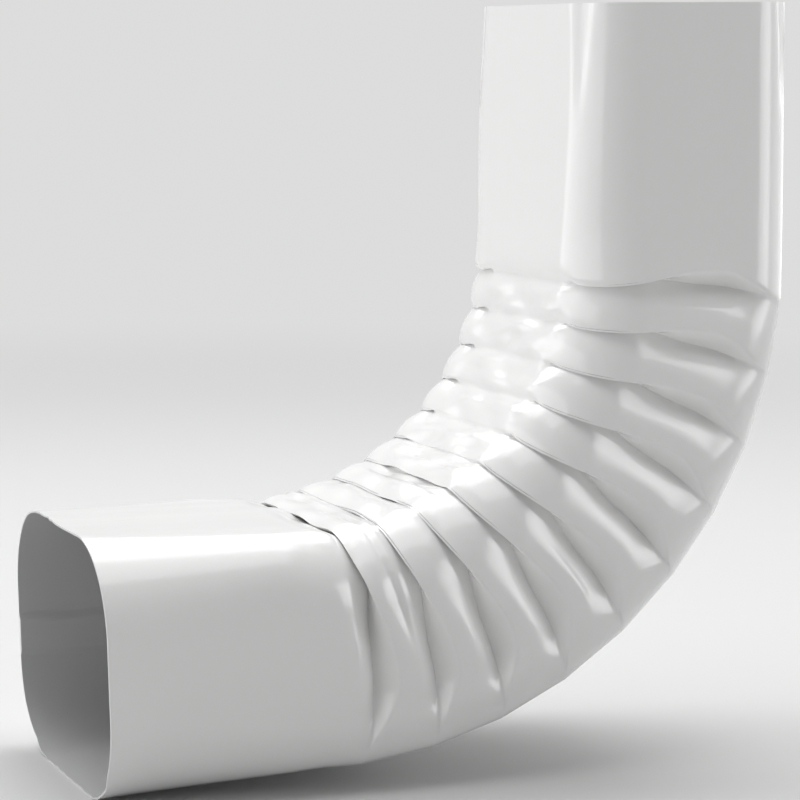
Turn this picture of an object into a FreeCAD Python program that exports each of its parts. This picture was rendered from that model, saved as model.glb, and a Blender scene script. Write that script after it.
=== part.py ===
import FreeCAD, Part
import math
import os

import Sketcher

# A pleated sheet-metal downspout elbow. The upper leg ends in a crimped collar that slips
# into the next pipe, the bend is gathered in overlapping pleats that fade out at the heel,
# and the lower leg opens into a larger mouth. Origin: centre of the crimped rim; the upper
# leg hangs down along -Z and the lower leg leaves along -X. Lengths in mm, angles in degrees.

SIZES = [
    ("throat_to_heel", 57.15, "section, inside of the bend to outside"),
    ("side_to_side", 82.55, "section, across the bend"),
    ("sheet_thickness", 0.5, "the sheet"),
    ("corner_radius", 12.0, "section corners in the legs and along the heel"),
    ("pleat_corner_radius", 17.0, "throat corners of the gathered section"),
    ("inlet_length", 72.7, "crimped rim to first crease, along the heel"),
    ("inlet_taper", 0.8, "the collar draws in by this much on every side"),
    ("inlet_cut_angle", 1.4, "the crimped rim is cut this far off square"),
    ("crimp_length", 27.0, "corner flutes, down from the rim"),
    ("crimp_depth", 1.0, "corner flutes, at the rim"),
    ("crimp_radius", 4.5, "corner flutes, across"),
    ("crease_count", 10, "pleats in the bend"),
    ("crease_turn", 9.0, "turn at each crease"),
    ("crease_pitch", 18.98, "flat between creases along the heel"),
    ("dart_width", 1.6, "width of a crease where it fades out at the heel"),
    ("pleat_rise", 1.5, "ridge above the throat wall"),
    ("pleat_depth", 3.0, "valley below the throat wall"),
    ("pleat_overlap", 3.2, "ridge overhangs its valley by this much at the throat"),
    ("pleat_run", 9.5, "leg wall that bends into the first ridge or out of the last valley"),
    ("outlet_length", 65.1, "last crease to open rim, along the heel"),
    ("outlet_flare_heel", 5.7, "the mouth grows by this much on its heel side"),
    ("outlet_flare_side", 0.8, "the mouth grows by this much on its two sides"),
    ("outlet_corner_radius", 22.5, "section corners at the mouth"),
    ("outlet_cut_angle", 2.4, "the open rim is cut this far off square"),
    ("seam_from_heel", 17.5, "lock seam on the far side wall"),
    ("seam_width", 9.5, "lock seam, across"),
    ("seam_rise", 1.0, "lock seam, its two extra layers"),
    ("cut_clearance", 2.0, "tools run past the rims by this much"),
]

doc = FreeCAD.newDocument("downspout_elbow")
sizes = doc.addObject("Spreadsheet::Sheet", "sizes")
for row, (alias, value, note) in enumerate(SIZES, 1):
    sizes.set(f"A{row}", str(value))
    sizes.setAlias(f"A{row}", alias)
    sizes.set(f"B{row}", note)
doc.recompute()

# Values that follow from the sizes. Around the throat a pleat is a zigzag: out along a
# crowned face to the ridge, then back under it to the valley. The sheet's inner skin is that
# zigzag moved inwards and back against the flow, so both faces keep the sheet's thickness.
DERIVED = [
    ("throat_pitch", "sizes.crease_pitch - 2 * sizes.throat_to_heel * tan(sizes.crease_turn / 2)"),
    ("heel_radius", "sizes.crease_pitch / (2 * sin(sizes.crease_turn / 2))"),
    ("centre_x", "sizes.throat_to_heel / 2 - sizes.crease_pitch / (2 * tan(sizes.crease_turn / 2))"),
    ("centre_z", "sizes.crease_pitch / 2 - sizes.inlet_length"),
    ("half_depth", "sizes.side_to_side / 2"),
    ("lean", "atan((sizes.pleat_overlap + sizes.dart_width) / (2 * sizes.throat_to_heel)) / 1deg"),
    ("half_run", "(derived.throat_pitch + sizes.pleat_overlap) / 2"),
    ("fold_height", "sizes.pleat_rise + sizes.pleat_depth"),
    ("fold_length", "hypot(sizes.pleat_overlap; derived.fold_height)"),
    ("climb_length", "hypot(derived.half_run; sizes.pleat_depth)"),
    ("crown_length", "hypot(derived.half_run; sizes.pleat_rise)"),
    ("valley_bite", "1 - (derived.fold_height * sizes.pleat_depth + sizes.pleat_overlap * derived.half_run)"
     " / (derived.fold_length * derived.climb_length)"),
    ("valley_back", "sizes.sheet_thickness * (derived.fold_height / derived.fold_length"
     " - sizes.pleat_depth / derived.climb_length) / derived.valley_bite"),
    ("valley_inset", "sizes.sheet_thickness * (derived.half_run / derived.climb_length"
     " - sizes.pleat_overlap / derived.fold_length) / derived.valley_bite"),
    ("ridge_bite", "1 - (derived.fold_height * sizes.pleat_rise + sizes.pleat_overlap * derived.half_run)"
     " / (derived.fold_length * derived.crown_length)"),
    ("ridge_back", "sizes.sheet_thickness * (derived.fold_height / derived.fold_length"
     " - sizes.pleat_rise / derived.crown_length) / derived.ridge_bite"),
    ("ridge_inset", "sizes.sheet_thickness * (derived.half_run / derived.crown_length"
     " - sizes.pleat_overlap / derived.fold_length) / derived.ridge_bite"),
    ("valley_lean", "derived.lean + atan(derived.valley_back / sizes.throat_to_heel) / 1deg"),
    ("ridge_lean", "derived.lean - atan(derived.ridge_back / sizes.throat_to_heel) / 1deg"),
]
derived = doc.addObject("App::VarSet", "derived")
for name, formula in DERIVED:
    derived.addProperty("App::PropertyFloat", name, "Derived")
    derived.setExpression(name, formula)
    doc.recompute()

body = doc.addObject("PartDesign::Body", "pleated_elbow")
body.Label = "pleated_elbow"
level_plane = [plane for plane in body.Origin.OriginFeatures if plane.Role == "XY_Plane"][0]


def number(formula):
    """The value of a formula as it stands now."""
    return float(derived.evalExpression(formula))


def placed_sketch(name, heel_x, heel_z, turn):
    """A sketch across the elbow: its x runs from the heel wall to the throat, its y is +Y."""
    sketch = body.newObject("Sketcher::SketchObject", name)
    sketch.AttachmentSupport = (level_plane, [""])
    sketch.MapMode = "FlatFace"
    sketch.setExpression(
        "AttachmentOffset",
        f"placement(vector({heel_x}; 0; {heel_z}); rotation(vector(0; 1; 0); 180 + {turn}))")
    return sketch


def bind(sketch, named):
    """Name the driving constraints and tie each to its formula."""
    for index, name, formula in named:
        sketch.renameConstraint(index, name)
        sketch.setExpression(f"Constraints.{name}", formula)


def section(name, place, heel, throat):
    """Rounded outline. heel and throat are (distance, half depth, corner radius) formulas."""
    sketch = placed_sketch(name, *place)
    centre_x = [f"({heel[0]}) + ({heel[2]})", f"({throat[0]}) - ({throat[2]})"]
    centre_y = [f"({end[1]}) - ({end[2]})" for end in (heel, throat)]
    hx, tx = (number(formula) for formula in centre_x)
    hy, ty = (number(formula) for formula in centre_y)
    hr, tr = number(heel[2]), number(throat[2])
    span = math.hypot(tx - hx, ty - hy)
    side = math.atan2(ty - hy, tx - hx) + math.acos((hr - tr) / span)
    nx, ny = math.cos(side), math.sin(side)

    def point(x, y):
        return FreeCAD.Vector(x, y, 0)

    def arc(x, y, radius, start, end):
        circle = Part.Circle(point(x, y), FreeCAD.Vector(0, 0, 1), radius)
        return Part.ArcOfCircle(circle, start, end)

    sketch.addGeometry([
        Part.LineSegment(point(hx - hr, -hy), point(hx - hr, hy)),
        arc(hx, hy, hr, side, math.pi),
        Part.LineSegment(point(hx + hr * nx, hy + hr * ny), point(tx + tr * nx, ty + tr * ny)),
        arc(tx, ty, tr, 0, side),
        Part.LineSegment(point(tx + tr, ty), point(tx + tr, -ty)),
        arc(tx, -ty, tr, -side, 0),
        Part.LineSegment(point(tx + tr * nx, -ty - tr * ny), point(hx + hr * nx, -hy - hr * ny)),
        arc(hx, -hy, hr, math.pi, 2 * math.pi - side),
    ], False)
    joints = [(0, 2, 1, 2), (1, 1, 2, 1), (2, 2, 3, 2), (3, 1, 4, 1),
              (4, 2, 5, 2), (5, 1, 6, 1), (6, 2, 7, 2), (7, 1, 0, 1)]
    sketch.addConstraint([Sketcher.Constraint("Tangent", *joint) for joint in joints])
    sketch.addConstraint([
        Sketcher.Constraint("Symmetric", 1, 3, 7, 3, -1),
        Sketcher.Constraint("Symmetric", 3, 3, 5, 3, -1),
        Sketcher.Constraint("Equal", 1, 7),
        Sketcher.Constraint("Equal", 3, 5),
    ])
    first = sketch.ConstraintCount
    sketch.addConstraint([
        Sketcher.Constraint("DistanceX", -1, 1, 1, 3, hx),
        Sketcher.Constraint("DistanceY", -1, 1, 1, 3, hy),
        Sketcher.Constraint("Radius", 1, hr),
        Sketcher.Constraint("DistanceX", -1, 1, 3, 3, tx),
        Sketcher.Constraint("DistanceY", -1, 1, 3, 3, ty),
        Sketcher.Constraint("Radius", 3, tr),
    ])
    bind(sketch, [
        (first, "heel_centre", centre_x[0]),
        (first + 1, "heel_spread", centre_y[0]),
        (first + 2, "heel_corner", heel[2]),
        (first + 3, "throat_centre", centre_x[1]),
        (first + 4, "throat_spread", centre_y[1]),
        (first + 5, "throat_corner", throat[2]),
    ])
    return sketch


def heel_point(crease, before=0.0, after=0.0, run="0"):
    """Heel end of a crease, moved along the flat before or after it by a formula."""
    at = f"sizes.crease_turn * {crease - 0.5}"
    along = f"sizes.crease_turn * {crease - 1 if before else crease}"
    sign = before if before else after
    x = f"derived.centre_x + derived.heel_radius * cos({at}) - {sign} * ({run}) * sin({along})"
    z = f"derived.centre_z - derived.heel_radius * sin({at}) - {sign} * ({run}) * cos({along})"
    return f"({x})", f"({z})"


COUNT = int(sizes.crease_count)
HEEL = "sizes.throat_to_heel / 2"
LAST_TURN = f"sizes.crease_turn * {COUNT}"
HALF_DART = "sizes.dart_width / 2"


def skin(prefix, inset, past):
    """All sections of one skin, rim to rim. inset gives the sheet's thickness at each kind."""
    plain, ridge, valley = inset["plain"], inset["ridge"], inset["valley"]
    heel = (plain, f"derived.half_depth - {plain}", f"sizes.corner_radius - {plain}")

    def throat(out, bite, radius):
        return (f"sizes.throat_to_heel + {out} - {bite}", f"derived.half_depth + {out} - {bite}",
                f"{radius} + {out} - {bite}")

    sections = []
    for name, drop, turn, corner in inset["collar"]:
        drawn = f"({plain} + sizes.inlet_taper * (1 - ({drop}) / (sizes.inlet_length - sizes.pleat_run)))"
        place = (HEEL, f"({HEEL} * tan(-({turn})) - ({drop}))", f"({turn})")
        sections.append(section(
            prefix + name, place,
            (drawn, f"derived.half_depth - {drawn}", corner),
            (f"sizes.throat_to_heel - {drawn}", f"derived.half_depth - {drawn}", corner)))
    place = (HEEL, "(sizes.pleat_run - sizes.inlet_length)", "0")
    sections.append(section(prefix + "inlet_end", place, heel,
                            throat("0", plain, "sizes.corner_radius")))
    for crease in range(1, COUNT + 1):
        turn = f"sizes.crease_turn * {crease - 0.5}"
        place = heel_point(crease, before=-1, run=HALF_DART) + (f"({turn} - {inset['ridge_lean']})",)
        sections.append(section(f"{prefix}ridge_{crease}", place, heel,
                                throat("sizes.pleat_rise", ridge, "sizes.pleat_corner_radius")))
        place = heel_point(crease, after=1, run=HALF_DART) + (f"({turn} + {inset['valley_lean']})",)
        sections.append(section(f"{prefix}valley_{crease}", place, heel,
                                throat("(-sizes.pleat_depth)", valley, "sizes.pleat_corner_radius")))
        if crease < COUNT:
            place = heel_point(crease, after=1, run="sizes.crease_pitch / 2")
            place = place + (f"sizes.crease_turn * {crease}",)
            sections.append(section(f"{prefix}crown_{crease}", place, heel,
                                    throat("0", plain, "sizes.pleat_corner_radius")))
    place = heel_point(COUNT, after=1, run="sizes.pleat_run") + (LAST_TURN,)
    sections.append(section(prefix + "outlet_start", place, heel,
                            throat("0", plain, "sizes.corner_radius")))
    run = f"sizes.outlet_length - {HEEL} * tan(sizes.outlet_cut_angle) + {past}"
    place = heel_point(COUNT, after=1, run=run) + (f"({LAST_TURN} - sizes.outlet_cut_angle)",)
    wide = f"derived.half_depth + sizes.outlet_flare_side - {plain}"
    corner = f"sizes.outlet_corner_radius - {plain}"
    sections.append(section(prefix + "mouth", place,
                            (f"{plain} - sizes.outlet_flare_heel", wide, corner),
                            (f"sizes.throat_to_heel - {plain}", wide, corner)))
    return sections


def loft(kind, name, sections):
    """Straight walls from each section to the next."""
    feature = body.newObject(f"PartDesign::{kind}", name)
    feature.Profile = sections[0]
    feature.Sections = sections[1:]
    feature.Ruled = True
    feature.Closed = False
    doc.recompute()
    return feature


# The outer skin, filled
outer_sections = skin("outer_", {
    "plain": "0", "ridge": "0", "valley": "0",
    "ridge_lean": "derived.lean", "valley_lean": "derived.lean",
    "collar": [("rim", "0", "-sizes.inlet_cut_angle", "sizes.corner_radius")],
}, "0")
loft("AdditiveLoft", "outer_skin", outer_sections)

# One tapered flute pressed into each corner of the collar
for x_sign in (-1, 1):
    for y_sign in (-1, 1):
        name = ("heel" if x_sign > 0 else "throat") + ("_far" if y_sign > 0 else "_near") + "_flute"
        flute = body.newObject("PartDesign::SubtractiveCone", name)
        flute.AttachmentSupport = (level_plane, [""])
        flute.MapMode = "FlatFace"
        reach = "(sizes.corner_radius - sizes.crimp_depth + sizes.crimp_radius) * cos(45)"
        inset = "- sizes.inlet_taper - sizes.corner_radius"
        x = f"{x_sign} * (sizes.throat_to_heel / 2 {inset} + {reach})"
        y = f"{y_sign} * (derived.half_depth {inset} + {reach})"
        flute.setExpression(
            "AttachmentOffset",
            f"placement(vector({x}; {y}; -sizes.crimp_length); rotation(vector(0; 0; 1); 0))")
        growth = "sizes.crimp_depth * (1 + sizes.cut_clearance / sizes.crimp_length)"
        flute.setExpression("Radius1", "sizes.crimp_radius - sizes.crimp_depth")
        flute.setExpression("Radius2", f"sizes.crimp_radius - sizes.crimp_depth + {growth}")
        flute.setExpression("Height", "sizes.crimp_length + sizes.cut_clearance")
        doc.recompute()

# The inner skin, cut out. Behind the flutes its corners are rounder, to keep the wall.
behind = ("(sizes.corner_radius - sizes.sheet_thickness"
          " + (sizes.crimp_depth + sizes.sheet_thickness) / (sqrt(2) - 1) - sizes.sheet_thickness)")
inner_sections = skin("inner_", {
    "plain": "sizes.sheet_thickness",
    "ridge": "derived.ridge_inset", "valley": "derived.valley_inset",
    "ridge_lean": "derived.ridge_lean", "valley_lean": "derived.valley_lean",
    "collar": [
        ("rim", "(-sizes.cut_clearance)", "-sizes.inlet_cut_angle", behind),
        ("crimp_end", "sizes.crimp_length", "0", "(sizes.corner_radius - sizes.sheet_thickness)"),
    ],
}, "sizes.cut_clearance")
loft("SubtractiveLoft", "inner_skin", inner_sections)



def seam_section(name, place, half):
    """The folded lock seam in cross-section, let into half the wall's thickness."""
    sketch = placed_sketch(name, *place)
    low = f"({half}) - sizes.sheet_thickness - sizes.seam_rise"
    tall = "sizes.seam_rise + sizes.sheet_thickness / 2"
    start, bottom = number("sizes.seam_from_heel"), number(low)
    wide, high = number("sizes.seam_width"), number(tall)
    corners = [(start, bottom), (start + wide, bottom), (start + wide, bottom + high), (start, bottom + high)]
    points = [FreeCAD.Vector(x, y, 0) for x, y in corners]
    sketch.addGeometry([Part.LineSegment(points[i], points[(i + 1) % 4]) for i in range(4)], False)
    sketch.addConstraint([Sketcher.Constraint("Coincident", i, 2, (i + 1) % 4, 1) for i in range(4)])
    sketch.addConstraint([Sketcher.Constraint("Horizontal", 0), Sketcher.Constraint("Horizontal", 2)])
    sketch.addConstraint([Sketcher.Constraint("Vertical", 1), Sketcher.Constraint("Vertical", 3)])
    first = sketch.ConstraintCount
    sketch.addConstraint([
        Sketcher.Constraint("DistanceX", -1, 1, 0, 1, start),
        Sketcher.Constraint("DistanceY", -1, 1, 0, 1, bottom),
        Sketcher.Constraint("DistanceX", 0, 1, 0, 2, wide),
        Sketcher.Constraint("DistanceY", 1, 1, 1, 2, high),
    ])
    bind(sketch, [
        (first, "from_heel", "sizes.seam_from_heel"),
        (first + 1, "from_middle", low),
        (first + 2, "wide", "sizes.seam_width"),
        (first + 3, "high", tall),
    ])
    return sketch


# The lock seam down the far side wall: four layers of sheet, the extra ones on the inside
drop = "sizes.crimp_length"
drawn = f"sizes.inlet_taper * (1 - {drop} / (sizes.inlet_length - sizes.pleat_run))"
loft("AdditiveLoft", "inlet_seam", [
    seam_section("inlet_seam_top", (HEEL, f"(-{drop})", "0"), f"derived.half_depth - {drawn}"),
    seam_section("inlet_seam_foot", (HEEL, "(sizes.pleat_run - sizes.inlet_length)", "0"),
                 "derived.half_depth"),
])
start = heel_point(COUNT, after=1, run="sizes.pleat_run") + (LAST_TURN,)
run = f"sizes.outlet_length - {HEEL} * tan(sizes.outlet_cut_angle)"
finish = heel_point(COUNT, after=1, run=run) + (f"({LAST_TURN} - sizes.outlet_cut_angle)",)
seam = loft("AdditiveLoft", "outlet_seam", [
    seam_section("outlet_seam_start", start, "derived.half_depth"),
    seam_section("outlet_seam_mouth", finish, "derived.half_depth + sizes.outlet_flare_side"),
])
body.Tip = seam

doc.recompute()
faults = [item.Name for item in doc.Objects if "Invalid" in item.State or "Error" in item.State]
shape = body.Shape
if faults or shape.isNull() or not shape.isValid() or len(shape.Solids) != 1:
    raise RuntimeError(f"elbow not built: {faults}")

os.makedirs("parts", exist_ok=True)
shape.exportStep(f"parts/{body.Label}.step")
box = shape.BoundBox
print(body.Label, "solids", len(shape.Solids), "faces", len(shape.Faces), "volume", round(shape.Volume, 1))
print("box", [round(value, 2) for value in (box.XMin, box.YMin, box.ZMin, box.XMax, box.YMax, box.ZMax)])
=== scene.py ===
# %% [markdown]
# # A pleated downspout elbow
# The object is one piece of painted sheet metal: a rectangular tube that is gathered into
# overlapping pleats, so that it turns from a downpipe to an outlet. The packed model gives the
# frame. Everything below is built in metres in that frame, around the solid that it replaces.

# %% Load the frame
import math

import bpy
import numpy as np
from mathutils import Matrix, Vector


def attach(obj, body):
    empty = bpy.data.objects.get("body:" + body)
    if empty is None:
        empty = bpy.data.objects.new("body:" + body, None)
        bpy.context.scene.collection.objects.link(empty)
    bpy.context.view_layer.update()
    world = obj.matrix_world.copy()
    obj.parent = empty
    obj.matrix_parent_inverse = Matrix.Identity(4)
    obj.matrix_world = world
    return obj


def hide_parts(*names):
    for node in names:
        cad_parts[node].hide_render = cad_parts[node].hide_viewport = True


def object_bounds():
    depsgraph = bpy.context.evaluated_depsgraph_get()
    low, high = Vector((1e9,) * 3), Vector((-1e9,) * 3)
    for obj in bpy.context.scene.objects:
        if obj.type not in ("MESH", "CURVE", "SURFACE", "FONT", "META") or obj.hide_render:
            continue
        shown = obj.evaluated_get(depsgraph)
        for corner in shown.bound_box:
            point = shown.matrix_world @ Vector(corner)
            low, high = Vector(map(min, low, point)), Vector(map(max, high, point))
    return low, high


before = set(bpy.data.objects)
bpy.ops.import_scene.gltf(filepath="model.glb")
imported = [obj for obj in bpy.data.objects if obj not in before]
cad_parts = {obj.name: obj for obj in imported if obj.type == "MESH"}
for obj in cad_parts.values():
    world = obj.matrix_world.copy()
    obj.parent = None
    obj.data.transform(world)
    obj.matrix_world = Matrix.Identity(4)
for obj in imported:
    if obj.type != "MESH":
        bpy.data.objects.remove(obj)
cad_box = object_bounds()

MM = 0.001
print("frame box", cad_box)

# %% [markdown]
# ## The sizes of the bend
# A maker would set these on the bending machine: the section of the tube, the turn at each crease
# and the distance to the next one. They are written in millimetres, as on a drawing, and the
# finished points are scaled to metres once, at the end.

# %% Sizes of the bend
THROAT_TO_HEEL = 57.15
HALF_DEPTH = 82.55 / 2
CREASES = 10
TURN = math.radians(9.0)
PITCH = 18.98
INLET = 72.7
OUTLET = 65.05

HEEL_RADIUS = PITCH / (2 * math.tan(TURN / 2))
THROAT_RADIUS = HEEL_RADIUS - THROAT_TO_HEEL
CENTRE_X = THROAT_TO_HEEL / 2 - HEEL_RADIUS
CENTRE_Z = PITCH / 2 - INLET
print(f"bend radius at the heel {HEEL_RADIUS:.1f} mm, at the throat {THROAT_RADIUS:.1f} mm")

# %% [markdown]
# ## Rows: the way along the elbow
# A Curve modifier or Simple Deform could bend a tube, but neither gathers the sheet into folds.
# So the sheet is written as one surface of two parameters. The first runs along the pipe, from
# the crimped rim to the mouth. A row in a leg has a plain distance. A row in the bend has a turn
# about the bend's centre and a place within its pleat, from -0.5 to 0.5 with the crease in the
# middle. Rows crowd where the sheet folds back, because its direction changes fastest there.

# %% Row positions
RIDGE_AT = -0.10
VALLEY_AT = 0.10
FACE_ROWS, FOLD_ROWS = 7, 13
INLET_ROWS, OUTLET_ROWS = 33, 26


def smoothstep(low, high, value):
    """0 below low, 1 above high, and a smooth cubic between them."""
    t = np.clip((value - low) / (high - low), 0, 1)
    return t * t * (3 - 2 * t)


def pleat_places():
    """Places within one pleat: evenly spaced on the faces, about three times closer in the fold."""
    before = np.linspace(-0.5, RIDGE_AT, FACE_ROWS + 1)[:-1]
    fold = np.linspace(RIDGE_AT, VALLEY_AT, FOLD_ROWS)
    after = np.linspace(VALLEY_AT, 0.5, FACE_ROWS + 1)[1:-1]
    return np.concatenate([before, fold, after])


def whole_way(inlet, pleats, outlet):
    """One value for every row: down the inlet leg, round the pleats and along the outlet leg."""
    lengths = len(inlet_up), len(in_pleat), len(outlet_out)
    return np.concatenate([np.broadcast_to(part, length)
                           for part, length in zip((inlet, pleats, outlet), lengths)])


inlet_run = INLET - PITCH / 2
outlet_run = OUTLET - PITCH / 2
inlet_up = inlet_run * np.linspace(1, 0, INLET_ROWS + 1)[:-1]
outlet_out = outlet_run * np.linspace(0, 1, OUTLET_ROWS)
places = pleat_places()
in_pleat = np.tile(places, CREASES)
pleat_number = np.repeat(np.arange(1, CREASES + 1), len(places))

row_turn = whole_way(0.0, (pleat_number - 0.5 + in_pleat) * TURN, CREASES * TURN)
row_up = whole_way(inlet_up, 0.0, 0.0)
row_out = whole_way(0.0, 0.0, outlet_out)
row_place = whole_way(-0.5, in_pleat, 0.5)
row_pleat = whole_way(1, pleat_number, CREASES)
ROWS = len(row_turn)
print("rows along the pipe", ROWS)

# %% [markdown]
# ## Columns: the way round the section
# The second parameter runs round a rounded rectangle: heel wall, far corner, far side, throat and
# back along the near side. Each row has its own sizes, because the collar is drawn in a little at
# the crimped rim, the pleated part has rounder throat corners, and the mouth is opened wider with
# rounder corners still.

# %% Section sizes along the pipe
LEG_CORNER, PLEAT_CORNER, MOUTH_CORNER = 12.0, 17.0, 22.5
TAPER = 0.8
FLARE_HEEL, FLARE_SIDE = 5.7, 0.8

down_inlet = 1 - row_up / inlet_run
along_outlet = row_out / outlet_run
gather = 0.5 + 0.5 * smoothstep(0.4, 1.0, down_inlet)
gather = gather * (1 - smoothstep(0.0, 0.25, along_outlet))
draw = TAPER * (1 - down_inlet)

heel_at = draw - FLARE_HEEL * along_outlet
throat_at = THROAT_TO_HEEL - draw
half_depth = HALF_DEPTH - draw + FLARE_SIDE * along_outlet
heel_corner = LEG_CORNER + (MOUTH_CORNER - LEG_CORNER) * along_outlet
throat_corner = heel_corner + (PLEAT_CORNER - LEG_CORNER) * gather
print(f"mouth {THROAT_TO_HEEL + FLARE_HEEL:.1f} x {2 * (HALF_DEPTH + FLARE_SIDE):.1f} mm")

# %% Rounded section
HEEL_COLUMNS, SIDE_COLUMNS, THROAT_COLUMNS = 18, 24, 26
HEEL_CORNER_COLUMNS, THROAT_CORNER_COLUMNS = 12, 18


def section_points():
    """Points and outward normals round every row's outline, as arrays of rows by columns.

    Four straight walls joined by four quarter circles. On a wall the point slides from one
    corner's tangent point to the next; on a corner it is the centre plus the radius times a
    unit vector that turns by a quarter.
    """
    sizes = heel_at, throat_at, half_depth, heel_corner, throat_corner
    heel, throat, half, heel_r, throat_r = (size[:, None] for size in sizes)
    pieces = []

    def fractions(count):
        return np.linspace(0, 1, count, endpoint=False)[None, :]

    def add(count, *parts):
        pieces.append([part * np.ones((ROWS, count)) for part in parts])

    def add_wall(x0, y0, x1, y1, normal, count):
        f = fractions(count)
        add(count, x0 + (x1 - x0) * f, y0 + (y1 - y0) * f, *normal)

    def add_corner(x, y, radius, start, count):
        angle = start - np.pi / 2 * fractions(count)
        across, up = np.cos(angle), np.sin(angle)
        add(count, x + radius * across, y + radius * up, across, up)

    add_wall(heel, heel_r - half, heel, half - heel_r, (-1, 0), HEEL_COLUMNS)
    add_corner(heel + heel_r, half - heel_r, heel_r, np.pi, HEEL_CORNER_COLUMNS)
    add_wall(heel + heel_r, half, throat - throat_r, half, (0, 1), SIDE_COLUMNS)
    add_corner(throat - throat_r, half - throat_r, throat_r, np.pi / 2, THROAT_CORNER_COLUMNS)
    add_wall(throat, half - throat_r, throat, throat_r - half, (1, 0), THROAT_COLUMNS)
    add_corner(throat - throat_r, throat_r - half, throat_r, 0.0, THROAT_CORNER_COLUMNS)
    add_wall(throat - throat_r, -half, heel + heel_r, -half, (0, -1), SIDE_COLUMNS)
    add_corner(heel + heel_r, heel_r - half, heel_r, -np.pi / 2, HEEL_CORNER_COLUMNS)
    return [np.concatenate(parts, axis=1) for parts in zip(*pieces)]


section_x, section_y, normal_x, normal_y = section_points()
COLUMNS = section_x.shape[1]
from_heel = section_x / THROAT_TO_HEEL
print("columns round the section", COLUMNS)

# %% [markdown]
# ## The pleats
# Every crease gathers spare sheet, and there is more of it the nearer the throat. Each pleat is a
# shingle: the sheet comes out of a valley, climbs in a crowned face to a ridge and folds back to
# the next valley. Near the heel the fold is a slim lens that can be looked into. Towards the
# throat the ridge slides over the valley and hides it. In the upper half of the bend the throat
# was pressed flat against the former, apart from a short slit at its far end. No two creases are
# bent alike, so every one gets its own factors from a seeded generator.

# %% Which pleats are flattened
UNEVENNESS = 0.10
FAR_SLIT = 17.0, 25.0
FLATTENED_UP_TO = 4.0, 9.0

crease = np.arange(CREASES + 1.0)
rng = np.random.default_rng(7)
uneven = 1 + rng.uniform(-UNEVENNESS, UNEVENNESS, (4, CREASES + 1))


def by_pleat(values):
    """Give every row the value of its own pleat."""
    return values[row_pleat][:, None]


throat_angle = np.arctan2(np.abs(normal_y), normal_x)
far_open = smoothstep(*FAR_SLIT, section_y)
on_throat = (1 - smoothstep(math.radians(2), math.radians(34), throat_angle)) * (1 - far_open)
pressed = by_pleat(1 - smoothstep(*FLATTENED_UP_TO, crease))
flattened = on_throat * pressed
print("share of the rows that is pressed flat", (pressed > 0.5).mean().round(2))

# %% [markdown]
# ### Where the lips and valleys run
# Both lines are distances along the pipe from the crease, negative towards the inlet. The sheet
# has to swerve round the corners of the section, so both lines bow towards the inlet halfway
# across the side walls.

# %% Lips and valleys
LENS_WIDTH, LENS_GROWTH = 3.4, 0.2
BOW, BOW_GROWTH = 2.3, 0.12
OVERLAP = 3.2

lens = smoothstep(0.05, 0.36, from_heel) * (1 - smoothstep(0.30, 1.0, from_heel))
lens = by_pleat((LENS_WIDTH + LENS_GROWTH * crease) * uneven[0]) * lens
bow = smoothstep(0.02, 0.36, from_heel) * (1 - smoothstep(0.42, 0.98, from_heel))
bow = bow * by_pleat(BOW + BOW_GROWTH * crease)
lapped = smoothstep(0.44, 0.86, from_heel)
overlap = OVERLAP * lapped * (1 - flattened) * by_pleat(uneven[1])
lip_at = 0.5 * lapped - lens - bow
valley_at = 0.2 - overlap + 0.6 * flattened - bow
open_by = valley_at - lip_at
print(f"fold opens {open_by.max():.1f} mm and laps {-open_by.min():.1f} mm")

# %% Heights and depths
RIDGE_RISE = 1.35
OPEN_DEPTH, LAP_DEPTH = 4.0, 1.8
SLIT_DEPTH = 0.7

softened = 1 - 0.9 * flattened
rise = RIDGE_RISE * smoothstep(0.20, 0.88, from_heel) * softened * by_pleat(uneven[2])
deep = OPEN_DEPTH + (LAP_DEPTH - OPEN_DEPTH) * smoothstep(0.42, 0.88, from_heel)
last_deeper = 1 + smoothstep(0.45, 0.7, from_heel) * by_pleat(crease == CREASES)
depth = smoothstep(0.05, 0.34, from_heel) * deep * softened * by_pleat(uneven[3]) * last_deeper
slit = far_open * (1 - smoothstep(math.radians(20), math.radians(45), throat_angle)) * pressed
depth = depth + SLIT_DEPTH * slit
print(f"ridges rise {rise.max():.1f} mm and valleys sink {depth.max():.1f} mm")


# %% [markdown]
# ### The profile of a pleat
# Two numbers shape it. The crown says how round the face is: flat and stiff near the heel and
# rounder at the throat. The puff rounds the ridge over at the throat, where the sheet swells like
# a pillow. The first pleat grows out of the inlet leg, and the last one sinks into the outlet leg.

# %% Pleat profile
def shingle(place, crown, puff):
    """1 on the ridge and 0 in the valley.

    On the face it is 1 minus a power of what is left to climb, so it is flat at its ridge. Puff
    takes off the fourth power of the climb, which rounds the ridge over like a pillow. In the
    fold it goes down, partly straight and partly as half a cosine wave.
    """
    fold_width = VALLEY_AT - RIDGE_AT
    down = np.clip((place - RIDGE_AT) / fold_width, 0, 1)
    fold = (1 - puff) * (1 - 0.6 * down - 0.4 * (0.5 - 0.5 * np.cos(np.pi * down)))
    climb = np.mod(place - VALLEY_AT, 1.0) / (1 - fold_width)
    face = 1 - np.clip(1 - climb, 0, 1) ** crown - puff * np.clip(climb, 0, 1) ** 4
    in_fold = (place >= RIDGE_AT) & (place <= VALLEY_AT)
    return np.where(in_fold, fold, face)


FIRST_RUN, LAST_RUN = 9.0, 6.0
FIRST_CROWN = 2.2

place = row_place[:, None]
crown = 3.4 - 1.3 * smoothstep(0.40, 0.75, from_heel)
puff = 0.45 * smoothstep(0.75, 0.98, from_heel)
profile = shingle(place, crown, puff)

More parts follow.
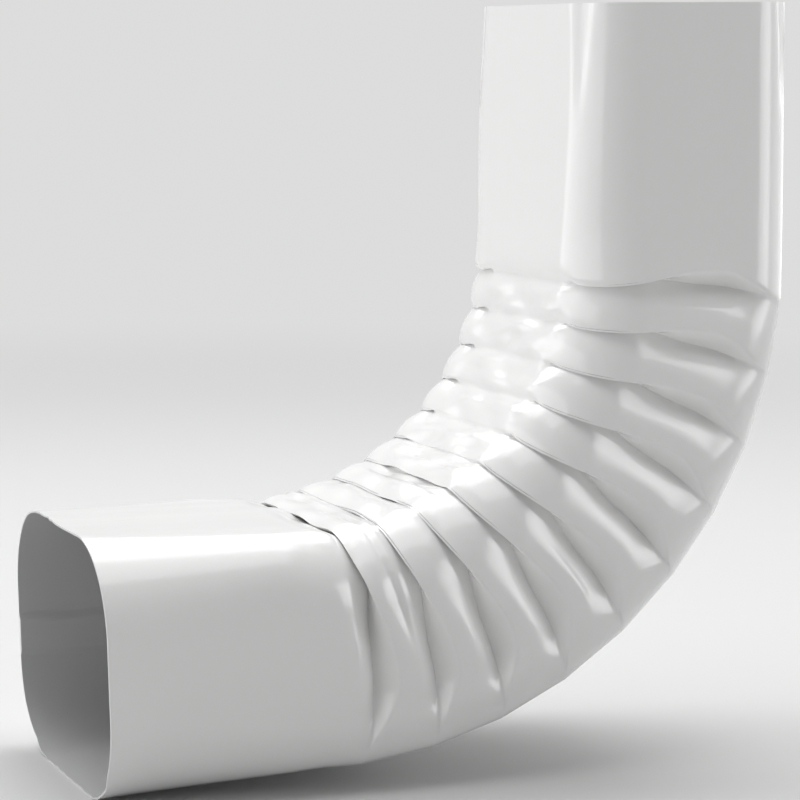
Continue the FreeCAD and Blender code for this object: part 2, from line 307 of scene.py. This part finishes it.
first_face = ((row_pleat == 1) & (row_place < RIDGE_AT))[:, None]
to_ridge = 0.6 + 0.4 * (row_place + 0.5) / (RIDGE_AT + 0.5)
to_ridge = (np.clip(1 - row_up / FIRST_RUN, 0, 1) * to_ridge)[:, None]
first_climb = to_ridge ** FIRST_CROWN * (1 - puff)
last_face = ((row_pleat == CREASES) & (row_place > VALLEY_AT))[:, None]
from_valley = np.clip((row_place - VALLEY_AT) / 0.6 + row_out / LAST_RUN, 0, 1)[:, None]
last_climb = (1 - from_valley) ** crown
row_rise = np.where(first_face, first_climb, np.where(last_face, 0, profile))
row_depth = np.where(first_face, 0, np.where(last_face, last_climb, 1 - profile))

in_bend = smoothstep(0.84, 1.0, down_inlet) * (1 - smoothstep(0.0, 0.16, along_outlet))
in_bend = in_bend[:, None]
soft_groove = flattened * (0.25 - 0.75 * np.exp(-(place / 0.2) ** 2))
lift = rise * row_rise - depth * row_depth + in_bend * soft_groove
print(f"ridge {lift.max():.2f} mm out, valley {-lift.min():.2f} mm in")

# %% Slide along the pipe
pitch_here = TURN * (HEEL_RADIUS - section_x)
ridge_shift = lip_at - RIDGE_AT * pitch_here
valley_shift = valley_at - VALLEY_AT * pitch_here
gathered = smoothstep(0.03, 0.12, from_heel) * (1 - 0.8 * flattened)
up_the_face = shingle(place, 1.0, 0.0)
slide = in_bend * gathered * (valley_shift + (ridge_shift - valley_shift) * up_the_face)
print(f"sheet slides from {slide.min():.1f} to {slide.max():.1f} mm")

# %% [markdown]
# ## The crimped collar
# The rim that goes into the next pipe has a flute pressed into each corner. It is deepest at the
# rim, and gets narrower and shallower on its way down.

# %% Corner flutes
CRIMP_LENGTH, CRIMP_DEPTH = 27.0, 1.4
THROAT_FLUTE_AT, HEEL_FLUTE_AT, FLUTE_HALF = 18.0, 42.0, 16.0

from_rim = row_up.max() - row_up
flute_run = np.clip(1 - from_rim / CRIMP_LENGTH, 0, 1)[:, None]
corner_angle = np.degrees(np.arctan2(np.abs(normal_y), np.abs(normal_x)))
flute_centre = np.where(normal_x > 0, THROAT_FLUTE_AT, HEEL_FLUTE_AT)
flute_half = FLUTE_HALF * (0.35 + 0.65 * flute_run)
off_centre = np.abs(corner_angle - flute_centre) / flute_half
flute = CRIMP_DEPTH * flute_run ** 0.6 * (1 - smoothstep(0.35, 1.0, off_centre))
flute = np.where((row_up > 0)[:, None], flute, 0)
print(f"flutes {flute.max():.2f} mm deep")


# %% [markdown]
# ## Small dents
# The throat of a real elbow is creased and dimpled where the sheet was squeezed, the top of the
# outlet has shallow streaks along it, and the flat walls are never quite flat. A few waves of
# different lengths, added up, give that without any pattern. They move the sheet itself, because
# a bump in the paint would not show in the outline.

# %% Dents
def waves(along, across, seed, count, shortest, longest):
    """The sum of count sine waves in random directions, scaled to about -1 to 1."""
    draw_from = np.random.default_rng(seed)
    total = np.zeros_like(along)
    for length, heading, phase in zip(draw_from.uniform(shortest, longest, count),
                                      draw_from.uniform(0, np.pi, count),
                                      draw_from.uniform(0, 2 * np.pi, count)):
        distance = along * np.cos(heading) + across * np.sin(heading)
        total += np.sin(2 * np.pi / length * distance + phase)
    return total / math.sqrt(count)


DENT, STREAK, WAVINESS = 0.42, 0.10, 0.10

nowhere = 0 * section_y
row_length = (row_turn * THROAT_RADIUS + row_out - row_up)[:, None] + nowhere
near_bend = smoothstep(0.3 * TURN, 1.3 * TURN, row_turn) * (1 - smoothstep(0.0, 0.05, along_outlet))
squeezed = near_bend[:, None] * (0.15 * smoothstep(0.3, 0.9, from_heel) + 0.85 * on_throat)
dents = squeezed * DENT * waves(row_length, section_y * 0.3, 3, 14, 4.0, 12.0)
on_top = smoothstep(0.0, 0.2, along_outlet)[:, None] * smoothstep(0.7, 0.95, normal_x)
streaks = on_top * STREAK * waves(nowhere, section_y, 9, 6, 5.0, 13.0)
wavy = (1 - in_bend) * WAVINESS * waves(row_length, section_y + section_x, 5, 5, 60.0, 140.0)
print(f"dents up to {np.abs(dents).max():.2f} mm")

# %% [markdown]
# ## The cut mouth
# The mouth was cut with a saw. The cut is clean on the sides and a little ragged underneath and
# on the far half of the top.

# %% Ragged rim
CUT_DEPTH = 0.9

at_mouth = smoothstep(0.93, 1.0, along_outlet)[:, None]
rough_top = smoothstep(0, 10, section_y) * (1 - smoothstep(20, 28, section_y))
rough_cut = np.where(normal_x > 0.5, rough_top, smoothstep(0.5, 0.9, -normal_x))
jag = 0.5 + 0.25 * waves(nowhere, section_y, 11, 8, 3.0, 9.0)
ragged = at_mouth * rough_cut * CUT_DEPTH * np.clip(jag, 0, 1)
print(f"mouth cut back up to {ragged.max():.2f} mm")

# %% [markdown]
# ## Bending the sheet into place
# A point of the section is moved along its outward normal by the lift, then carried round the
# bend. Between two creases the walls are straight, so the distance from the centre is the plain
# radius divided by the cosine of the turn from the middle of that flat. Both rims are cut a
# little off square.

# %% Outer skin
INLET_CUT = math.radians(1.39)
OUTLET_CUT = math.radians(2.4)


def bend(inward, across, slide_by):
    """Position in millimetres of points that lie inward from the heel and across the section."""
    turn = row_turn[:, None] + slide_by / (HEEL_RADIUS - inward)
    off_middle = turn - np.clip(np.round(turn / TURN), 0, CREASES) * TURN
    straight = (turn < 0) | (turn > CREASES * TURN)
    radius = (HEEL_RADIUS - inward) / np.where(straight, 1.0, np.cos(off_middle))
    off_axis = THROAT_TO_HEEL / 2 - inward
    tilt_in = off_axis * math.tan(INLET_CUT) * (row_up / row_up.max())[:, None]
    tilt_out = -off_axis * math.tan(OUTLET_CUT) * along_outlet[:, None]
    out = (row_out[:, None] + tilt_out - ragged) * math.sin(CREASES * TURN)
    x = CENTRE_X + radius * np.cos(turn) - out
    z = CENTRE_Z - radius * np.sin(turn) + row_up[:, None] + tilt_in
    return np.stack([x, across, z], axis=-1)


push = lift - flute + dents + (streaks + wavy)
outer = bend(section_x + push * normal_x, section_y + push * normal_y, slide)
print("outer skin", outer.reshape(-1, 3).min(0).round(1), outer.reshape(-1, 3).max(0).round(1))

# %% [markdown]
# ## The thickness of the sheet
# A Solidify modifier could thicken the skin. Here the inner skin is the outer one moved along its
# own normal, because a lock seam closes the tube along the far side wall: it is four layers thick,
# and the extra layers stand on the inside.

# %% Inner skin
SHEET = 0.5
SEAM_FROM_HEEL, SEAM_WIDTH, SEAM_RISE = 17.5, 9.5, 1.0
SEAM_EDGE = 0.3


def grid_normals(points):
    """Unit normals of a grid that is closed round its columns, from its two directions."""
    along = np.gradient(points, axis=0)
    around = np.roll(points, -1, axis=1) - np.roll(points, 1, axis=1)
    normal = np.cross(around, along)
    return normal / np.linalg.norm(normal, axis=-1, keepdims=True)


outward = grid_normals(outer)
rim_normals = np.stack([-normal_x[0], normal_y[0], 0 * normal_x[0]], -1)
outward *= np.sign(np.sum(outward[0] * rim_normals))
on_far_wall = (section_y > 0) & (np.abs(normal_y) > 0.99)
into_seam = section_x - SEAM_FROM_HEEL
seam = smoothstep(-SEAM_EDGE, SEAM_EDGE, into_seam)
seam = seam * (1 - smoothstep(-SEAM_EDGE, SEAM_EDGE, into_seam - SEAM_WIDTH)) * on_far_wall
thickness = SHEET + SEAM_RISE * seam * (1 - 0.8 * in_bend)
inner = outer - outward * thickness[..., None]
print(f"sheet {thickness.min():.2f} to {thickness.max():.2f} mm")

# %% [markdown]
# ## The mesh
# Both skins share one grid of quads. The inner one is wound the other way, and a strip of quads
# closes the sheet's edge at each rim, so the mesh is one closed shell. Shading is smooth, apart
# from edges that turn by more than 60 degrees: the rims and the sharpest folds.


# %% Mesh
def grid_quads(start, flip):
    """Quads of a grid of ROWS by COLUMNS that closes on itself round the columns."""
    row = np.arange(ROWS - 1)[:, None] * COLUMNS
    here = np.arange(COLUMNS)[None, :]
    after = (here + 1) % COLUMNS
    quads = np.stack([row + here, row + COLUMNS + here, row + COLUMNS + after, row + after], -1)
    quads = quads.reshape(-1, 4) + start
    return quads[:, ::-1] if flip else quads


def rim_quads(row, flip):
    """Quads between the two skins along one rim."""
    here = np.arange(COLUMNS) + row * COLUMNS
    after = (np.arange(COLUMNS) + 1) % COLUMNS + row * COLUMNS
    other = ROWS * COLUMNS
    quads = np.stack([here, after, after + other, here + other], -1)
    return quads[:, ::-1] if flip else quads


points = np.concatenate([outer.reshape(-1, 3), inner.reshape(-1, 3)]) * MM
quads = np.concatenate([grid_quads(0, False), grid_quads(ROWS * COLUMNS, True),
                        rim_quads(0, False), rim_quads(ROWS - 1, True)])
mesh = bpy.data.meshes.new("elbow_sheet")
mesh.from_pydata(points.tolist(), [], quads.tolist())
mesh.update()
elbow = bpy.data.objects.new("elbow_sheet", mesh)
bpy.context.scene.collection.objects.link(elbow)
mesh.polygons.foreach_set("use_smooth", np.ones(len(mesh.polygons), bool))
mesh.set_sharp_from_angle(angle=math.radians(60))
print("quads", len(quads))


# %% Outwards or not
def signed_volume(corners):
    """Volume inside a closed mesh of quads, from the tetrahedra to the origin."""
    a, b, c, d = (corners[:, i] for i in range(4))
    six_times = np.einsum("ij,ij->i", a, np.cross(b, c)) + np.einsum("ij,ij->i", a, np.cross(c, d))
    return six_times.sum() / 6


volume = signed_volume(points[quads])
print(f"sheet volume {volume * 1e6:.1f} cm3")
assert volume > 0

# %% [markdown]
# ## Coordinates for the paint
# The rolls leave lines along the sheet, so the paint needs to know which way the sheet runs. Its
# UV map is the flat sheet: the distance along the heel and the distance round the section. Two
# attributes tell the inside from the outside and the valleys from the faces. Then the piece is
# tied to the frame: it rides on the one body and stands in for the solid.

# %% Sheet coordinates
VALLEY_FULL_DEPTH = 3.0

sheet_u = (row_turn * HEEL_RADIUS + row_out - row_up)[:, None] + nowhere
steps = np.linalg.norm(np.roll(outer, -1, axis=1) - outer, axis=-1)
sheet_v = np.cumsum(steps, axis=1) - steps
sheet_uv = np.tile(np.stack([sheet_u, sheet_v], -1).reshape(-1, 2), (2, 1)) * MM
inside = np.repeat([0.0, 1.0], ROWS * COLUMNS)
# The valley attribute grows with the depth of a crease. The paint uses it to darken the colour as
# painted shade, and to make the coat a little duller.
valley = np.tile(np.clip(-lift / VALLEY_FULL_DEPTH, 0, 1).reshape(-1), 2)

loop_point = np.empty(len(mesh.loops), np.int32)
mesh.loops.foreach_get("vertex_index", loop_point)
layer = mesh.uv_layers.new(name="sheet")
layer.data.foreach_set("uv", sheet_uv[loop_point].ravel())
for name, values in (("inside", inside), ("valley", valley)):
    mesh.attributes.new(name, "FLOAT", "POINT").data.foreach_set("value", values)
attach(elbow, "root")
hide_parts("pleated_elbow")
print("sheet coordinates", sheet_uv.min(0).round(3), sheet_uv.max(0).round(3))

# %% [markdown]
# ## Shader maths
# A small class wraps a node's output, so that a finish can be written as a formula. Every
# operator adds one Math node, and `node` adds any other kind. A socket is named by its label,
# with underscores for spaces, or by its number after an i where labels repeat.


# %% Socket class
class Wire:
    """A value in a node tree. Arithmetic on wires adds Math nodes."""

    tree = None

    def __init__(self, socket):
        self.socket = socket

    @classmethod
    def node(cls, kind, settings=None, output=0, **inputs):
        """Add a node, set its properties, then its sockets, and return one of its outputs."""
        node = cls.tree.nodes.new(kind)
        for name, value in (settings or {}).items():
            setattr(node, name, value)
        for name, value in inputs.items():
            numbered = name[0] == "i" and name[1:].isdigit()
            key = int(name[1:]) if numbered else name.replace("_", " ")
            if isinstance(value, Wire):
                cls.tree.links.new(value.socket, node.inputs[key])
            else:
                node.inputs[key].default_value = value
        return cls(node.outputs[output])

    @classmethod
    def math(cls, operation, first, second):
        return cls.node("ShaderNodeMath", {"operation": operation}, i0=first, i1=second)

    def __add__(self, other):
        return self.math("ADD", self, other)

    def __radd__(self, other):
        return self.math("ADD", other, self)

    def __sub__(self, other):
        return self.math("SUBTRACT", self, other)

    def __rsub__(self, other):
        return self.math("SUBTRACT", other, self)

    def __mul__(self, other):
        return self.math("MULTIPLY", self, other)

    def __rmul__(self, other):
        return self.math("MULTIPLY", other, self)

    def between(self, low, high):
        """0 below low, 1 above high, smooth between."""
        settings = {"interpolation_type": "SMOOTHSTEP"}
        return self.node("ShaderNodeMapRange", settings, i0=self, i1=low, i2=high)

    def into(self, shader, socket):
        """Lead the value into one socket of a node that is already there."""
        self.tree.links.new(self.socket, shader.inputs[socket])


def mix_colour(factor, first, second):
    """The first colour where the factor is 0, the second where it is 1."""
    settings = {"data_type": "RGBA"}
    return Wire.node("ShaderNodeMix", settings, output=2, i0=factor, i6=first, i7=second)


print("operators", [name for name in vars(Wire) if name.endswith(("add__", "sub__", "mul__"))])

# %% [markdown]
# ## White enamel
# The sheet was painted before it was formed: a gloss white coat with a faint orange peel, drawn
# lines along the pipe from the rolls, a little dullness where the folds rubbed, and a greyer
# primer on the inside. In the valleys of the folds the colour is also darkened, as painted shade.
# Noise that is stretched along the sheet makes the lines, and two plain noises in object space
# make the clouds and the peel.

# %% Paint
DULL_WHITE, BRIGHT_WHITE = (0.79, 0.79, 0.785, 1), (0.89, 0.89, 0.885, 1)
# The darker of the next two colours is painted shade for the valleys of the folds; the other is the
# grey primer.
VALLEY_SHADE, PRIMER = (0.66, 0.65, 0.63, 1), (0.52, 0.52, 0.525, 1)
ENAMEL_IOR = 1.55

paint = bpy.data.materials.new("white_enamel")
paint.use_nodes = True
Wire.tree = paint.node_tree
enamel = paint.node_tree.nodes["Principled BSDF"]

uv = Wire.node("ShaderNodeUVMap", {"uv_map": "sheet"})
spot = Wire.node("ShaderNodeTexCoord", output=3)
is_inside = Wire.node("ShaderNodeAttribute", {"attribute_name": "inside"}, output=2)
in_valley = Wire.node("ShaderNodeAttribute", {"attribute_name": "valley"}, output=2)

stretched = Wire.node("ShaderNodeMapping", Vector=uv, Scale=(14.0, 900.0, 1.0))
drawn_lines = Wire.node("ShaderNodeTexNoise", Vector=stretched, Scale=1.0, Detail=3.0,
                        Roughness=0.6)
clouds = Wire.node("ShaderNodeTexNoise", Vector=spot, Scale=28.0, Detail=4.0, Roughness=0.55)
peel = Wire.node("ShaderNodeTexNoise", Vector=spot, Scale=900.0, Detail=2.0, Roughness=0.5)

tone = (clouds - 0.5) * 0.03 + (drawn_lines - 0.5) * 0.04
outside_colour = mix_colour(tone + 0.5, DULL_WHITE, BRIGHT_WHITE)
# In the valleys the colour is darkened towards it as painted shade.
valley_shaded_colour = mix_colour(in_valley * 0.15, outside_colour, VALLEY_SHADE)
mix_colour(is_inside, valley_shaded_colour, PRIMER).into(enamel, "Base Color")
roughness = 0.16 + (clouds - 0.5) * 0.05 + in_valley * 0.08 + is_inside * 0.25
roughness.into(enamel, "Roughness")
relief = peel * 0.4 + drawn_lines * 0.6
bump = Wire.node("ShaderNodeBump", Strength=0.06, Distance=0.0004, Height=relief)
bump.into(enamel, "Normal")
enamel.inputs["IOR"].default_value = ENAMEL_IOR
mesh.materials.append(paint)
print("paint nodes", len(paint.node_tree.nodes))

# %% [markdown]
# ## The floor
# A pale floor lies under the lowest edge and fades to a plain glow further out, so that no edge of
# it is seen. It throws light back on the elbow, a little more from the right than from the left.
# What the camera sees of it is a plain grey, which Is Camera Ray picks out.


# %% Floor
def grey(level):
    """A grey with full alpha."""
    return level, level, level, 1


FLOOR_Z = cad_box[0][2]
FLOOR_HALF = 6.0
FLOOR_SEEN, FLOOR_GLOW = grey(0.68), grey(0.72)
BOUNCE_LEFT, BOUNCE_RIGHT = grey(0.66), grey(0.76)

signs = (-1, -1), (1, -1), (1, 1), (-1, 1)
corners = [(x * FLOOR_HALF, y * FLOOR_HALF, FLOOR_Z) for x, y in signs]
floor_mesh = bpy.data.meshes.new("floor")
floor_mesh.from_pydata(corners, [], [(0, 1, 2, 3)])
floor = bpy.data.objects.new("floor", floor_mesh)
bpy.context.scene.collection.objects.link(floor)
floor_paint = bpy.data.materials.new("pale_floor")
floor_paint.use_nodes = True
Wire.tree = floor_paint.node_tree
matt = floor_paint.node_tree.nodes["Principled BSDF"]
matt.inputs["Roughness"].default_value = 0.9

spot = Wire.node("ShaderNodeTexCoord", output=3)
to_right = Wire.node("ShaderNodeSeparateXYZ", Vector=spot)
seen = Wire.node("ShaderNodeLightPath", output=0)
bounce = mix_colour(to_right.between(-0.15, 0.30), BOUNCE_LEFT, BOUNCE_RIGHT)
mix_colour(seen, bounce, FLOOR_SEEN).into(matt, "Base Color")
reach = Wire.node("ShaderNodeVectorMath", {"operation": "LENGTH"}, output=1, i0=spot)
glow = Wire.node("ShaderNodeEmission", Color=FLOOR_GLOW, Strength=1.0)
surface = Wire.node("ShaderNodeMixShader", i0=reach.between(0.35, 1.3), i1=Wire(matt.outputs[0]),
                    i2=glow)
surface.into(floor_paint.node_tree.nodes["Material Output"], "Surface")
floor_mesh.materials.append(floor_paint)
print("floor at", FLOOR_Z)

# %% [markdown]
# ## Lights
# Gloss paint shows the lamps as well as their light. Two wide panels stand on the floor to the
# left and right, so that the rounded corners of the pipe mirror them as upright strips. One lamp
# hangs above and one above and behind, for the top of the outlet and the crowns of the pleats. The
# front has no lamp, so the wall that faces the camera is greyer. Two more lamps are only mirrored:
# they light no matt surface, and draw the bright edge by the heel and the patches on the pleats.

# %% Lamps
MIDDLE = Vector((-0.06, 0.0, -0.10))


def soft_light(name, azimuth, elevation, distance, width, height, brightness, glint=False):
    """A flat lamp that faces the middle of the elbow. A glint is seen only in reflections.

    The azimuth is counted from straight in front, positive to the right. The brightness is what
    a mirror would show, so the power is brightness times pi times the lamp's area.
    """
    azimuth, elevation = math.radians(azimuth), math.radians(elevation)
    level = math.cos(elevation)
    away = Vector((math.sin(azimuth) * level, -math.cos(azimuth) * level, math.sin(elevation)))
    lamp = bpy.data.lights.new(name, "AREA")
    lamp.shape = "RECTANGLE"
    lamp.size, lamp.size_y = width, height
    lamp.energy = brightness * math.pi * width * height
    holder = bpy.data.objects.new(name, lamp)
    holder.location = MIDDLE + away * distance
    holder.rotation_euler = (-away).to_track_quat("-Z", "Y").to_euler()
    holder.visible_diffuse = not glint
    bpy.context.scene.collection.objects.link(holder)


soft_light("left_panel", -105, 14, 1.1, 2.2, 0.75, 1.62)
soft_light("right_panel", 91, 8, 1.1, 2.2, 0.75, 1.35)
soft_light("top_light", 0, 88, 1.1, 1.1, 1.1, 1.9)
soft_light("back_light", 178, 66, 1.2, 1.5, 0.8, 2.4)
soft_light("right_glint", 51, 8, 1.1, 0.50, 0.75, 3.2, glint=True)
soft_light("back_glint", 178, 46, 1.3, 1.5, 0.7, 5.0, glint=True)
print("lamps", [lamp.name for lamp in bpy.data.lights])

# %% [markdown]
# ## The studio around it
# The world fills the shadows weakly. To the camera and in reflections it is the pale backdrop, so
# both get their share added through Light Path.

# %% World
FILL, BACKDROP, MIRRORED_BACKDROP = 0.125, 0.595, 0.545

world = bpy.data.worlds.new("studio")
bpy.context.scene.world = world
world.use_nodes = True
Wire.tree = world.node_tree
seen = Wire.node("ShaderNodeLightPath", output=0)
mirrored = Wire.node("ShaderNodeLightPath", output=3)
background = world.node_tree.nodes["Background"]
background.inputs["Color"].default_value = grey(1)
strength = FILL + seen * BACKDROP + mirrored * MIRRORED_BACKDROP
strength.into(background, "Strength")
print("world nodes", len(world.node_tree.nodes))

# %% [markdown]
# ## Camera
# The camera stands where the photograph was taken: a long lens, a little to the left of square-on
# and a little above the middle. Its distance, tilt and roll come from fitting the known sizes of
# the elbow to its picture, so they are written as measured, in degrees, pixels and millimetres.

# %% Camera
AZIMUTH, ELEVATION, ROLL = (math.radians(angle) for angle in (21.46, 6.40, 0.81))
LENS_PIXELS, PICTURE_PIXELS, SENSOR = 2943.8, 800, 36.0
DISTANCE = 736.1
TARGET = Vector((-60.6, 0.0, -99.3))

level = math.cos(ELEVATION)
forward = Vector((math.sin(AZIMUTH) * level, math.cos(AZIMUTH) * level, -math.sin(ELEVATION)))
right = Vector((math.cos(AZIMUTH), -math.sin(AZIMUTH), 0.0))
up = right.cross(forward)
rolled_right = right * math.cos(ROLL) + up * math.sin(ROLL)
rolled_up = up * math.cos(ROLL) - right * math.sin(ROLL)

camera_data = bpy.data.cameras.new("camera")
camera_data.sensor_width = SENSOR
camera_data.lens = LENS_PIXELS / PICTURE_PIXELS * SENSOR
camera_data.clip_end = 50.0
camera = bpy.data.objects.new("camera", camera_data)
turned = Matrix((rolled_right, rolled_up, -forward)).transposed().to_4x4()
camera.matrix_world = Matrix.Translation((TARGET - forward * DISTANCE) * MM) @ turned
bpy.context.scene.collection.objects.link(camera)
bpy.context.scene.camera = camera
bpy.context.scene.view_settings.view_transform = "Standard"
print("lens", round(camera_data.lens, 1))

# %% [markdown]
